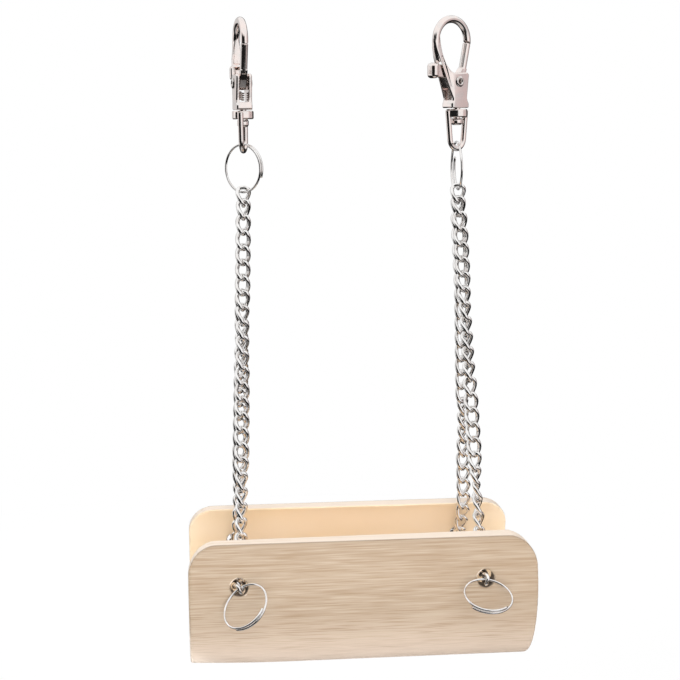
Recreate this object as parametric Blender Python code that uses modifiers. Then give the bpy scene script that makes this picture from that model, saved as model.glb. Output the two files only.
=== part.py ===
"""Wooden hamster swing: a bamboo trough seat hung on four curb-chain strands.

Each side has a swivel snap hook, a split ring, a top link, and two strands that hang
from that link, run down into the trough and out through a hole in the front or back
wall, where a split ring stops them. X runs along the seat, -Y is the front and +Z is up. The swing hangs
from a bar along X through the crowns of both hooks, and the origin lies on that bar,
midway between the hooks.
"""
from math import acos, atan2, cos, dist, pi, radians, sin, sqrt

import bmesh
import bpy
import numpy
from mathutils import Matrix, Vector

MM = 0.001
GAP = 0.3 * MM
WELD = 0.001 * MM

# Seat: a bamboo culm, open along the top, whose axis hangs this far below the bar
AXIS_Z = -160.65 * MM
SEAT_LENGTH = 100 * MM
SEAT_OFFSET = 0.5 * MM
SEAT_RADIUS = 27 * MM
SEAT_BORE_LEFT = 22.4 * MM
SEAT_BORE_RIGHT = 21.1 * MM
RIM_ABOVE_AXIS = 14.6 * MM
CORNER_RADIUS = 8 * MM
ARRIS = 0.7 * MM
HOLE_X = 35.2 * MM
HOLE_ABOVE_AXIS = 3.3 * MM
HOLE_RADIUS = 2.5 * MM
CUT_PAST = 1 * MM
SEAT_SEGMENTS = 56
HOLE_SEGMENTS = 16

# Curb chain: oval links whose ends are twisted against each other
LINK_WIRE = 0.55 * MM
LINK_WIDTH = 4.25 * MM
LINK_TWIST = radians(-55)
LINK_BITE = 0.2 * MM
LINK_POINTS = 8
LINK_ROUNDNESS = 0
LINK_TILT = radians(45)
LINK_THROUGH = 0.7
TOP_LINK_PITCH = 4.33 * MM
TOP_LINK_WIDTH = 4.7 * MM
STRAND_LINKS = 27
STRAND_SPLIT = 0.75 * MM
SPLAY_OUT = 4.2 * MM
SPLAY_DOWN = 10 * MM
RIM_CLEARANCE = 2.4 * MM
BEND_AT_SPLAY = 12 * MM
BEND_AT_RIM = 10 * MM
BEND_AT_HOLE = 3.5 * MM
TURN_IN = 3 * MM
# How the links of a strand are turned about its run, in degrees from facing front
STRAND_ROLLS = {
    "left_front": ((0, -32), (2, 0), (5, 0), (7, -50), (10, -45), (12, 0), (16, 0), (18, -60), (21, -60)),
    "left_back": ((0, -32), (2, 0), (6, 0), (9, -50), (12, -10), (17, 0), (20, -60), (22, -60)),
    "right_front": ((0, -30), (2, 0), (4, 0), (7, -55), (11, -50), (13, 0), (16, 0), (19, -90), (21, -60)),
    "right_back": ((0, -30), (2, 0), (13, 0), (14, -60), (16, -60), (18, -10), (22, -10)),
}

# Split rings: a little over one turn of wire, so that one side is doubled
RING_RADIUS = 6.85 * MM
RING_WIRE = 0.34 * MM
RING_TURNS = 1.25
RING_PITCH = 1.12 * MM
RING_POINTS = 24
RING_PLAY = 0.4 * MM
EYE_PLAY = 0.75 * MM

# Snap hooks, in their own plane: u from the thumb pad to the gate, z up from the foot's underside
HOOK_X = 31 * MM
LOOP_CENTRE = (-2.05 * MM, 19.3 * MM)
LOOP_HALF_WIDTH = 6 * MM
LOOP_RISE = 5.9 * MM
LOOP_DROP = 10.5 * MM
LOOP_WIRE = 1.1 * MM
LOOP_FLAT = 0.8
TIP_PAST = 2 * MM
PIVOT = (-1.05 * MM, 7.5 * MM)
GATE_JOINT = (3.9 * MM, 18.6 * MM)
GATE_HALF_WIDTH = 1.15 * MM
CHEEK_HALF = 2.25 * MM
SLOT_HALF = 1.35 * MM
SLOT_FLOOR = 2.2 * MM
SLOT_TOP = 13.2 * MM
TRIGGER_HALF = 1.05 * MM
RIVET_RADIUS = 0.65 * MM
RIVET_HEAD = 1.2 * MM
RIVET_CROWN = 0.4 * MM
RIVET_DIMPLE = 0.05 * MM
SPRING_U = -2.35 * MM
SPRING_RADIUS = 0.85 * MM
SPRING_WIRE = 0.19 * MM
SPRING_CURLS = 3
SPRING_POINTS = 8
TRIGGER_TAIL = 5.6 * MM
TAPER_START = 9.5 * MM
BODY_TAPER = 0.66
GATE_TAPER = 0.28
BODY_BEVEL = 0.45 * MM
TRIGGER_BEVEL = 0.35 * MM
PAD_BEVEL = 1.05 * MM
BORE_REACH = 15 * MM
# Corners in millimetres: the body's right, lower and left sides, and the lever from gate to pad
BODY_OUTLINE = [(2.3, 10.2), (2.9, 9.6), (2.4, 2.4), (2.8, 1.4), (2.8, 0), (-3.7, 0), (-3.7, 1.4),
                (-3.5, 2.4), (-8, 14.4), (-8.75, 17), (-9.05, 19.3), (-8.85, 21.2)]
TRIGGER_OUTLINE = [(3.2, 11.2), (2.1, 8.4), (1.0, 6.3), (0, 5.6), (-4.2, 5.6), (-5.4, 8.6), (-9.2, 8.8),
                   (-9.2, 12.4), (-6.4, 12.3), (-4.4, 11.2), (-2.2, 9.6), (-0.2, 9.5), (1.1, 11.4)]
PAD_CORNERS = ((-10.4 * MM, -1.8 * MM, 8.4 * MM), (-7.95 * MM, 1.8 * MM, 12.8 * MM))

# Swivel: post with a button head, and the eye that turns on it
POST_RADIUS = 1 * MM
POST_BORE = 1.3 * MM
POST_DEPTH = 1.6 * MM
BUTTON_RADIUS = 1.65 * MM
BUTTON_HEIGHT = 1.9 * MM
COLLAR_RADIUS = 3.1 * MM
COLLAR_HEIGHT = 2.4 * MM
CHAMFER = 0.3 * MM
BUTTON_CHAMFER = 0.5 * MM
BAIL_TOP_HALF_WIDTH = 3.15 * MM
BAIL_HALF_WIDTH = 2.75 * MM
BAIL_WIRE = 0.8 * MM
BAIL_STRAIGHT = 8.8 * MM
BAIL_BOTTOM = 11.68 * MM

# How each side hangs: directions seen from above, anticlockwise from +X
SIDES = {
    "left": {"x": -1, "hook": radians(-80), "eye": radians(76), "ring": radians(-44),
             "ring_turn": radians(203), "top_roll": radians(-68), "top_twist": radians(-22),
             "stop_droop": radians(28.5), "stop_roll": radians(41.4), "stop_yaw": radians(13.6)},
    "right": {"x": 1, "hook": radians(33), "eye": radians(27), "ring": radians(-89),
              "ring_turn": 0, "top_roll": radians(-55.5), "top_twist": radians(-44.5),
              "stop_droop": radians(22.9), "stop_roll": radians(-7), "stop_yaw": radians(-5.9)},
}
WALLS = {"front": -1, "back": 1}

# Worked out from the sizes above
FOOT_Z = LOOP_WIRE - LOOP_CENTRE[1] - LOOP_RISE
RIM_Z = AXIS_Z + RIM_ABOVE_AXIS
HOLE_Z = AXIS_Z + HOLE_ABOVE_AXIS
HOLE_WALL_Y = sqrt(SEAT_RADIUS ** 2 - HOLE_ABOVE_AXIS ** 2)
BAR_Z = FOOT_Z - BAIL_BOTTOM
RING_TOP_Z = BAR_Z + BAIL_WIRE + EYE_PLAY + RING_WIRE
RING_CENTRE_Z = RING_TOP_Z - RING_RADIUS
RING_BOTTOM_Z = RING_CENTRE_Z - RING_RADIUS
STOP_Y = HOLE_WALL_Y + GAP + RING_WIRE

STEEL = ((0.83, 0.81, 0.79, 1), 0.18, 1.0)
DARK_STEEL = ((0.62, 0.61, 0.60, 1), 0.30, 1.0)
BAMBOO = ((0.78, 0.60, 0.41, 1), 0.62, 0.0)


def clear_scene():
    for old in list(bpy.data.objects):
        bpy.data.objects.remove(old)


def new_collection(name):
    made = bpy.data.collections.new(name)
    bpy.context.scene.collection.children.link(made)
    return made


def principled(name, look):
    colour, roughness, metallic = look
    material = bpy.data.materials.new(name)
    material.use_nodes = True
    shader = material.node_tree.nodes["Principled BSDF"]
    shader.inputs["Base Color"].default_value = colour
    shader.inputs["Roughness"].default_value = roughness
    shader.inputs["Metallic"].default_value = metallic
    material.diffuse_color = colour
    return material


def add_object(name, data, collection):
    made = bpy.data.objects.new(name, data)
    collection.objects.link(made)
    return made


def add_part(name, mesh, look, parent=None, matrix=None):
    """A finished sub-part with its own material, placed under the empty on its joint's axis."""
    mesh = mesh.copy()
    mesh.name = name
    mesh.materials.clear()
    mesh.materials.append(principled(name, look))
    mesh.shade_smooth()
    mesh.set_sharp_from_angle(angle=radians(40))
    part = add_object(name, mesh, PARTS)
    part.parent = parent
    if matrix is not None:
        part.matrix_basis = matrix
    return part


def add_axis(name, place, parent=None, turn=0.0):
    """An empty on a joint's axis. Its place is in world coordinates, and its parent isn't turned."""
    empty = add_object(name, None, PARTS)
    empty.empty_display_size = 4 * MM
    empty.parent = parent
    empty.location = Vector(place) - (parent.matrix_world.translation if parent else Vector())
    empty.rotation_euler.z = turn
    bpy.context.view_layer.update()
    return empty


def add_cutter(name, mesh):
    cutter = add_object(name, mesh, CUTTERS)
    cutter.hide_render = True
    cutter.display_type = "WIRE"
    return cutter


def add_boolean(target, cutter, operation="DIFFERENCE"):
    step = target.modifiers.new(cutter.name, "BOOLEAN")
    step.operation = operation
    step.object = cutter
    return step


def add_bevel(target, width, segments=1, angle=radians(40)):
    step = target.modifiers.new("rounded_edges", "BEVEL")
    step.width = width
    step.segments = segments
    step.limit_method = "ANGLE"
    step.angle_limit = angle
    return step


def baked(source):
    """The evaluated mesh of an object, which is then removed. Curve caps are welded."""
    bpy.context.view_layer.update()
    graph = bpy.context.evaluated_depsgraph_get()
    mesh = bpy.data.meshes.new_from_object(source.evaluated_get(graph))
    bpy.data.objects.remove(source)
    bm = bmesh.new()
    bm.from_mesh(mesh)
    bmesh.ops.remove_doubles(bm, verts=bm.verts, dist=WELD)
    bm.to_mesh(mesh)
    bm.free()
    return mesh


def tube(points, radius, resolution=1, cyclic=False, tilt=0.0):
    """A round wire along points."""
    curve = bpy.data.curves.new("wire", "CURVE")
    curve.dimensions = "3D"
    curve.fill_mode = "FULL"
    curve.bevel_depth = radius
    curve.bevel_resolution = resolution
    curve.use_fill_caps = not cyclic
    spline = curve.splines.new("POLY")
    spline.points.add(len(points) - 1)
    for point, place in zip(spline.points, points):
        point.co = (*place, 1)
        point.tilt = tilt
    spline.use_cyclic_u = cyclic
    return baked(add_object("wire", curve, CUTTERS))


def plate(outline, half_thickness):
    """A flat outline in (u, z), as thick as asked on both sides of its plane."""
    curve = bpy.data.curves.new("plate", "CURVE")
    curve.dimensions = "2D"
    curve.fill_mode = "BOTH"
    curve.extrude = half_thickness
    spline = curve.splines.new("POLY")
    spline.points.add(len(outline) - 1)
    for point, (u, z) in zip(spline.points, outline):
        point.co = (u, z, 0, 1)
    spline.use_cyclic_u = True
    mesh = baked(add_object("plate", curve, CUTTERS))
    mesh.transform(Matrix.Rotation(pi / 2, 4, "X"))
    return mesh


def rod(radius, depth, centre=(0, 0, 0), axis="Z", end_radius=None, segments=24):
    """A round bar or cone along an axis."""
    bm = bmesh.new()
    last = radius if end_radius is None else end_radius
    bmesh.ops.create_cone(bm, cap_ends=True, segments=segments, radius1=radius, radius2=last, depth=depth)
    turns = {"X": Matrix.Rotation(pi / 2, 4, "Y"), "Y": Matrix.Rotation(-pi / 2, 4, "X"), "Z": Matrix()}
    bm.transform(Matrix.Translation(centre) @ turns[axis])
    mesh = bpy.data.meshes.new("rod")
    bm.to_mesh(mesh)
    bm.free()
    return mesh


def block(low, high):
    bm = bmesh.new()
    bmesh.ops.create_cube(bm, size=1)
    low, high = Vector(low), Vector(high)
    bm.transform(Matrix.Translation((low + high) / 2) @ Matrix.Diagonal((*(high - low), 1)))
    mesh = bpy.data.meshes.new("block")
    bm.to_mesh(mesh)
    bm.free()
    return mesh


def turned(profile, axis="Z", segments=20):
    """A turned solid from (radius, height) pairs that start and end on the axis, top to bottom."""
    bm = bmesh.new()
    made = [bm.verts.new((radius, 0, height)) for radius, height in profile]
    for one, two in zip(made, made[1:]):
        bm.edges.new((one, two))
    mesh = bpy.data.meshes.new("turned")
    bm.to_mesh(mesh)
    bm.free()
    solid = add_object("turned", mesh, CUTTERS)
    screw = solid.modifiers.new("turn", "SCREW")
    screw.steps = screw.render_steps = segments
    screw.use_merge_vertices = True
    screw.merge_threshold = WELD
    mesh = baked(solid)
    if axis == "Y":
        mesh.transform(Matrix.Rotation(-pi / 2, 4, "X"))
    return mesh


def arc(centre, radius, start, end, steps):
    """Points on an arc in a plane, both ends included. The radius may differ along the two axes."""
    wide, high = radius if isinstance(radius, tuple) else (radius, radius)
    angles = [start + (end - start) * step / steps for step in range(steps + 1)]
    return [(centre[0] + wide * cos(angle), centre[1] + high * sin(angle)) for angle in angles]


def build_seat(parent):
    half = SEAT_LENGTH / 2
    middle = (SEAT_OFFSET, 0, AXIS_Z)
    culm = rod(SEAT_RADIUS, SEAT_LENGTH, middle, "X", segments=SEAT_SEGMENTS)
    seat = add_part("bamboo_seat", culm, BAMBOO)
    bore = rod(SEAT_BORE_LEFT, SEAT_LENGTH + 2 * CUT_PAST, middle, "X", SEAT_BORE_RIGHT, SEAT_SEGMENTS)
    inset = half - CORNER_RADIUS
    shoulder = RIM_Z - CORNER_RADIUS
    outline = arc((inset, shoulder), CORNER_RADIUS, 0, pi / 2, 8)
    outline += arc((-inset, shoulder), CORNER_RADIUS, pi / 2, pi, 8)
    below = AXIS_Z - SEAT_RADIUS - CUT_PAST
    outline += [(-half, below), (half, below)]
    side_view = plate([(x + SEAT_OFFSET, z) for x, z in outline], SEAT_RADIUS + CUT_PAST)
    cutters = [add_cutter("seat_bore", bore), add_cutter("seat_side_view", side_view)]
    add_boolean(seat, cutters[0])
    add_boolean(seat, cutters[1], "INTERSECT")
    add_bevel(seat, ARRIS)
    for side, x in (("left", -HOLE_X), ("right", HOLE_X)):
        through = 2 * (SEAT_RADIUS + CUT_PAST)
        drill = rod(HOLE_RADIUS, through, (x, 0, HOLE_Z), "Y", segments=HOLE_SEGMENTS)
        cutters.append(add_cutter(side + "_chain_holes", drill))
        add_boolean(seat, cutters[-1])
    place_under(seat, parent)
    for cutter in cutters:
        cutter.parent = seat
        cutter.location = -parent.matrix_world.translation


def place_under(part, parent):
    """Parents a part that is modelled in world coordinates, and moves its origin to the parent's."""
    part.data.transform(Matrix.Translation(-parent.matrix_world.translation))
    part.parent = parent
    part.matrix_basis = Matrix()


def rounded_route(corners, radii, steps=8):
    """Points along straight runs with an arc of the given radius at each inner corner."""
    route = [corners[0]]
    for before, corner, after, radius in zip(corners, corners[1:], corners[2:], radii):
        back, ahead = (before - corner).normalized(), (after - corner).normalized()
        half_angle = acos(back.dot(ahead)) / 2
        reach = radius * cos(half_angle) / sin(half_angle)
        centre = corner + (back + ahead).normalized() * radius / sin(half_angle)
        start = (corner + back * reach - centre).normalized()
        end = (corner + ahead * reach - centre).normalized()
        route += [centre + radius * start.slerp(end, step / steps) for step in range(steps + 1)]
    return route + [corners[-1]]


def route_length(route):
    return sum((two - one).length for one, two in zip(route, route[1:]))


def point_on(route, distance):
    for one, two in zip(route, route[1:]):
        run = (two - one).length
        if distance <= run:
            return one.lerp(two, distance / run)
        distance -= run
    return route[-1] + (route[-1] - route[-2]).normalized() * distance


def link_mesh(pitch, width=LINK_WIDTH, end_twist=LINK_TWIST):
    """One curb link: an oval of wire along Z, twisted about Z so that its ends cross its neighbours'."""
    half_length = pitch / 2 + LINK_WIRE - LINK_BITE / 2
    half_width = width / 2 - LINK_WIRE
    half_step = pi / LINK_POINTS
    loop = []
    for step in range(LINK_POINTS):
        angle = half_step * (2 * step + 1)
        across = half_width * cos(angle) / cos(half_step)
        reach = sin(angle) / cos(half_step)
        twist = end_twist * reach
        loop.append((across * cos(twist), across * sin(twist), half_length * reach))
    return tube(loop, LINK_WIRE, LINK_ROUNDNESS, cyclic=True, tilt=LINK_TILT)


def link_frame(start, end, roll):
    """A link's matrix: its Z from start to end, its width turned by roll from the X direction."""
    along = (end - start).normalized()
    width = (Vector((1, 0, 0)) - along * along.x).normalized()
    face = along.cross(width)
    across = width * cos(roll) + face * sin(roll)
    turn = Matrix((across, along.cross(across), along)).transposed().to_4x4()
    return Matrix.Translation((start + end) / 2) @ turn


def roll_facing(along, wire):
    """The roll that lets a wire pass straight through a link that lies along a direction."""
    width = (Vector((1, 0, 0)) - along * along.x).normalized()
    across = wire.cross(along).normalized()
    return atan2(across.dot(along.cross(width)), across.dot(width))


def joined(meshes):
    """One mesh of triangles, which cut cleanly where a quad would be bent."""
    bm = bmesh.new()
    for mesh in meshes:
        bm.from_mesh(mesh)
    bmesh.ops.triangulate(bm, faces=bm.faces)
    made = bpy.data.meshes.new("joined")
    bm.to_mesh(made)
    bm.free()
    return made


def top_link_start(side):
    """Where the top link's pitch starts, on the lowest part of the split ring."""
    start = Vector((side["x"] * HOOK_X, 0, RING_BOTTOM_Z + RING_WIRE + RING_PLAY + LINK_BITE / 2))
    return start + ring_axis(side) * (ring_lead(side, -pi / 2) - ring_lead(side, pi / 2))


def build_top_link(name, side, parent):
    """Its upper end is square to the split ring's wire. The strands hang side by side in its lower end."""
    start = top_link_start(side)
    link = link_mesh(TOP_LINK_PITCH, TOP_LINK_WIDTH, side["top_twist"])
    link.transform(link_frame(start, start - Vector((0, 0, TOP_LINK_PITCH)), side["top_roll"]))
    place_under(add_part(name, link, STEEL), parent)


def strand_route(side, wall):
    """From the top link apart and down to the rim's inner edge, into the trough, and out through the hole."""
    x = side["x"] * HOLE_X
    bore = SEAT_BORE_LEFT + (SEAT_BORE_RIGHT - SEAT_BORE_LEFT) * ((x - SEAT_OFFSET) / SEAT_LENGTH + 0.5)
    rim_y = sqrt(bore ** 2 - RIM_ABOVE_AXIS ** 2) - RIM_CLEARANCE
    bend = TOP_LINK_WIDTH / 2 - LINK_WIRE
    lift = GAP + LINK_BITE + bend - sqrt(bend ** 2 - STRAND_SPLIT ** 2)
    top = top_link_start(side) + Vector((0, wall * STRAND_SPLIT, lift - TOP_LINK_PITCH))
    rim = Vector((x, wall * rim_y, RIM_Z))
    splay = top.lerp(rim, SPLAY_DOWN / (top.z - rim.z))
    splay.y = wall * SPLAY_OUT
    end_y = STOP_Y + RING_WIRE + RING_PLAY + LINK_BITE / 2
    turn_y = sqrt(bore ** 2 - HOLE_ABOVE_AXIS ** 2) - TURN_IN
    corners = [top, splay, rim, Vector((x, wall * turn_y, HOLE_Z)), Vector((x, wall * end_y, HOLE_Z))]
    return rounded_route(corners, (BEND_AT_SPLAY, BEND_AT_RIM, BEND_AT_HOLE))


def strand_rolls(name, side, wall):
    """The roll of every link. The last two are turned so that the stop ring's wire passes through."""
    numbers, turns = zip(*STRAND_ROLLS[name])
    turns = [radians(turn) for turn in turns]
    end = roll_facing(Vector((0, wall, 0)), stop_frame(side, wall).col[0].xyz) - LINK_TWIST * LINK_THROUGH
    end = turns[-1] + (end - turns[-1] + pi / 2) % pi - pi / 2
    numbers += (STRAND_LINKS - 2, STRAND_LINKS - 1)
    return numpy.interp(range(STRAND_LINKS), numbers, turns + [end, end])


def build_strand(name, side, wall, parent):
    """A run of joined links, and the end link in the hole, which is clear of the run."""
    route = strand_route(side, wall)
    slack = GAP + LINK_BITE
    pitch = (route_length(route) + slack) / STRAND_LINKS
    plain = link_mesh(pitch)
    links = []
    start = 0.0
    for number, roll in enumerate(strand_rolls(name, side, wall)):
        if number == STRAND_LINKS - 1:
            start -= slack
        link = plain.copy()
        link.transform(link_frame(point_on(route, start), point_on(route, start + pitch), roll))
        links.append(link)
        start += pitch
    run = add_object(name + "_run", joined(links[0:-1:2]), CUTTERS)
    others = add_object(name + "_others", joined(links[1:-1:2]), CUTTERS)
    add_boolean(run, others, "UNION")
    place_under(add_part(name + "_chain", baked(run), STEEL), parent)
    bpy.data.objects.remove(others)
    place_under(add_part(name + "_end_link", links[-1], STEEL), parent)


def coil(radius, pitch, turns, points_per_turn):
    """Points of a helix about Z, centred on the origin, and its middle at angle 0."""
    count = round(turns * points_per_turn)
    angles = [2 * pi * turns * (step / count - 0.5) for step in range(count + 1)]
    return [Vector((radius * cos(angle), radius * sin(angle), pitch * angle / (2 * pi))) for angle in angles]


def least_gap(points, wire, points_per_turn):
    """The least clear distance between neighbouring turns of a wound wire."""
    apart = points_per_turn // 2
    pairs = ((one, two) for number, one in enumerate(points) for two in points[number + apart:])
    return min(dist(one, two) for one, two in pairs) - 2 * wire


def split_ring():
    points = coil(RING_RADIUS, RING_PITCH, RING_TURNS, RING_POINTS)
    gap = least_gap(points, RING_WIRE, RING_POINTS)
    print("split ring, least gap between turns in mm:", round(gap / MM, 2))
    return tube(points, RING_WIRE)


def ring_direction(side):
    return Vector((cos(side["ring"]), sin(side["ring"]), 0))


def ring_axis(side):
    return ring_direction(side).cross(Vector((0, 0, 1)))


def ring_lead(side, angle):
    """How far the winding has moved along a top ring's axis, at an angle in its plane."""
    turned_by = (angle - side["ring_turn"] + pi) % (2 * pi) - pi
    return RING_PITCH * turned_by / (2 * pi)


def build_top_ring(name, side, mesh, parent):
    """Hangs on edge, with its doubled part to one side, clear of the eye and of the links."""
    axis = ring_axis(side)
    turn = Matrix((ring_direction(side), Vector((0, 0, 1)), axis)).transposed().to_4x4()
    centre = Vector((side["x"] * HOOK_X, 0, RING_CENTRE_Z)) - axis * ring_lead(side, pi / 2)
    ring = mesh.copy()
    ring.transform(Matrix.Translation(centre) @ turn @ Matrix.Rotation(side["ring_turn"], 4, "Z"))
    place_under(add_part(name, ring, STEEL), parent)


def stop_frame(side, wall):
    """Axes of a stop ring: X along its wire in the link, Y to its centre, Z square to it."""
    lie = (Matrix.Rotation(-side["stop_yaw"], 4, "Z") @ Matrix.Rotation(-side["stop_droop"], 4, "X")
           @ Matrix.Rotation(-side["stop_roll"], 4, "Y"))
    back = lie.to_3x3()
    columns = [back.col[0].copy(), back.col[1].copy(), back.col[2].copy()]
    if wall < 0:
        columns = [Vector((axis.x, -axis.y, axis.z)) for axis in columns]
        columns[2] = columns[0].cross(columns[1])
    return Matrix(columns).transposed().to_4x4()


def build_stop_ring(name, side, wall, mesh, parent):
    """Threaded through the end link, against the outer wall, and left standing out from it."""
    contact = Vector((side["x"] * HOLE_X, wall * STOP_Y, HOLE_Z))
    axis = add_axis(name + "_axis", contact, parent)
    ring = mesh.copy()
    ring.transform(Matrix.Rotation(-pi / 2, 4, "Z"))
    ring.transform(Matrix.Translation((0, RING_RADIUS, 0)))
    add_part(name, ring, STEEL, axis, stop_frame(side, wall))


def tapered(mesh, share):
    """Thins a clasp's piece above the pivot, by that share of its thickness at the loop's middle."""
    for corner in mesh.vertices:
        rise = max(0, (corner.co.z - TAPER_START) / (LOOP_CENTRE[1] - TAPER_START))
        corner.co.y *= 1 - share * rise
    return joined([mesh])


def pivot_bore():
    return rod(RIVET_RADIUS + GAP, BORE_REACH, (PIVOT[0], 0, PIVOT[1]), "Y", segments=16)


def hook_mesh():
    """The cast hook: an egg-shaped loop that runs into a slotted body with a squared foot."""
    loop = arc(LOOP_CENTRE, (LOOP_HALF_WIDTH, LOOP_RISE), 0, pi, 12)
    spine = arc(LOOP_CENTRE, (LOOP_HALF_WIDTH, LOOP_DROP), pi, pi + radians(36), 4)[1:]
    tip = [(loop[0][0], loop[0][1] - TIP_PAST)]
    wire = tube([(u, 0, z) for u, z in tip + loop + spine], LOOP_WIRE, 2)
    wire.transform(Matrix.Diagonal((1, LOOP_FLAT, 1, 1)))
    out = (Vector(GATE_JOINT) - Vector(PIVOT)).normalized()
    cut = Vector(GATE_JOINT) + out * GAP / 2
    bm = bmesh.new()
    bm.from_mesh(wire)
    gate_side = [face for face in bm.faces if face.calc_center_median().x > PIVOT[0]]
    geometry = gate_side + list({edge for face in gate_side for edge in face.edges})
    geometry += list({corner for face in gate_side for corner in face.verts})
    bmesh.ops.bisect_plane(bm, geom=geometry, plane_co=(cut.x, 0, cut.y), plane_no=(out.x, 0, out.y),
                           clear_inner=True)
    bmesh.ops.holes_fill(bm, edges=[edge for edge in bm.edges if edge.is_boundary])
    bm.to_mesh(wire)
    bm.free()
    inner = (LOOP_HALF_WIDTH - LOOP_WIRE, LOOP_DROP - LOOP_WIRE)
    outline = arc(LOOP_CENTRE, inner, radians(174), radians(278), 7)
    outline += [(u * MM, z * MM) for u, z in BODY_OUTLINE]
    body = add_object("hook_body", plate(outline, CHEEK_HALF), CUTTERS)
    add_bevel(body, BODY_BEVEL)
    body = add_object("hook_body", tapered(baked(body), BODY_TAPER), CUTTERS)
    slot = block((-BORE_REACH, -SLOT_HALF, SLOT_FLOOR), (BORE_REACH, SLOT_HALF, SLOT_TOP))
    tools = [
        ("trigger_slot", slot, "DIFFERENCE"),
        ("hook_loop", joined([wire]), "UNION"),
        ("rivet_hole", pivot_bore(), "DIFFERENCE"),
        ("post_hole", rod(POST_BORE, 2 * POST_DEPTH, segments=16), "DIFFERENCE"),
    ]
    cutters = []
    for name, mesh, operation in tools:
        cutters.append(add_cutter(name, mesh))
        add_boolean(body, cutters[-1], operation)
    mesh = baked(body)
    for cutter in cutters:
        bpy.data.objects.remove(cutter)
    return mesh


def trigger_mesh():
    """The bell-crank lever: gate arm up to the hook's tip, thumb pad out on the other side."""
    out = (Vector(GATE_JOINT) - Vector(PIVOT)).normalized()
    end = Vector(GATE_JOINT) - out * GAP / 2
    aside = Vector((out.y, -out.x)) * GATE_HALF_WIDTH
    points = [tuple(end - aside), tuple(end + aside)] + [(u * MM, z * MM) for u, z in TRIGGER_OUTLINE]
    lever = add_object("trigger", plate(points, TRIGGER_HALF), CUTTERS)
    add_bevel(lever, TRIGGER_BEVEL)
    lever = add_object("trigger", tapered(baked(lever), GATE_TAPER), CUTTERS)
    pad = add_object("pad", block(*PAD_CORNERS), CUTTERS)
    add_bevel(pad, PAD_BEVEL, 3)
    pad = add_cutter("thumb_pad", baked(pad))
    add_boolean(lever, pad, "UNION")
    hole = add_cutter("pivot_hole", pivot_bore())
    add_boolean(lever, hole)
    mesh = baked(lever)
    bpy.data.objects.remove(pad)
    bpy.data.objects.remove(hole)
    mesh.transform(Matrix.Translation((-PIVOT[0], 0, -PIVOT[1])))
    return mesh


def rivet_mesh():
    seat = CHEEK_HALF + GAP
    crown = seat + RIVET_CROWN
    half = [(0, seat), (0.35 * RIVET_HEAD, seat + RIVET_DIMPLE), (0.55 * RIVET_HEAD, crown),
            (0.8 * RIVET_HEAD, crown), (RIVET_HEAD, seat), (RIVET_RADIUS, seat)]
    profile = half + [(radius, -height) for radius, height in reversed(half)]
    mesh = turned(profile, "Y", 16)
    mesh.transform(Matrix.Translation((PIVOT[0], 0, PIVOT[1])))
    return mesh


def spring_mesh():
    """A small push spring between the slot's floor and the trigger's tail."""
    low = SLOT_FLOOR + GAP + SPRING_WIRE
    high = TRIGGER_TAIL - GAP - SPRING_WIRE
    points = coil(SPRING_RADIUS, (high - low) / SPRING_CURLS, SPRING_CURLS, SPRING_POINTS)
    gap = least_gap(points, SPRING_WIRE, SPRING_POINTS)
    print("trigger spring, least gap between curls in mm:", round(gap / MM, 2))
    middle = Vector((SPRING_U, 0, (low + high) / 2))
    return tube([point + middle for point in points], SPRING_WIRE)


def post_mesh():
    """The swivel's rivet: its shank sits in the foot, its button carries the eye's collar."""
    under = -(COLLAR_HEIGHT + 2 * GAP)
    low = under - BUTTON_HEIGHT
    top = POST_DEPTH - GAP
    return turned([(0, top), (POST_RADIUS, top), (POST_RADIUS, under), (BUTTON_RADIUS, under),
                   (BUTTON_RADIUS, low + BUTTON_CHAMFER), (0.7 * BUTTON_RADIUS, low), (0, low)], segments=16)


def eye_mesh():
    """A collar that turns on the post, with a U-shaped bail below it that narrows downwards."""
    top = -(GAP + CHAMFER)
    curve = arc((0, -BAIL_STRAIGHT), (BAIL_HALF_WIDTH, BAIL_BOTTOM - BAIL_STRAIGHT), pi, 2 * pi, 10)
    path = [(-BAIL_TOP_HALF_WIDTH, top)] + curve + [(BAIL_TOP_HALF_WIDTH, top)]
    low = -GAP - COLLAR_HEIGHT
    collar = turned([(0, -GAP), (COLLAR_RADIUS - CHAMFER, -GAP), (COLLAR_RADIUS, -GAP - CHAMFER),
                     (COLLAR_RADIUS, low + CHAMFER), (COLLAR_RADIUS - CHAMFER, low), (0, low)])
    eye = add_object("eye", collar, CUTTERS)
    bail = add_cutter("bail", tube([(u, 0, z) for u, z in path], BAIL_WIRE, 2))
    add_boolean(eye, bail, "UNION")
    bore = add_cutter("collar_bore", rod(POST_BORE, BORE_REACH, segments=16))
    add_boolean(eye, bore)
    mesh = baked(eye)
    bpy.data.objects.remove(bail)
    bpy.data.objects.remove(bore)
    return mesh


def build_clasp(name, side, meshes):
    place = (side["x"] * HOOK_X, 0, FOOT_Z)
    swivel = add_axis(name + "_swivel_axis", place, turn=side["hook"])
    for piece, look in (("hook_body", STEEL), ("pivot_rivet", DARK_STEEL), ("trigger_spring", DARK_STEEL),
                        ("swivel_post", STEEL)):
        add_part(name + "_" + piece, meshes[piece], look, swivel)
    add_part(name + "_trigger", meshes["trigger"], STEEL, swivel, Matrix.Translation((PIVOT[0], 0, PIVOT[1])))
    turn = Matrix.Translation(place) @ Matrix.Rotation(side["eye"], 4, "Z")
    add_part(name + "_swivel_eye", meshes["swivel_eye"], STEEL, None, turn)


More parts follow.
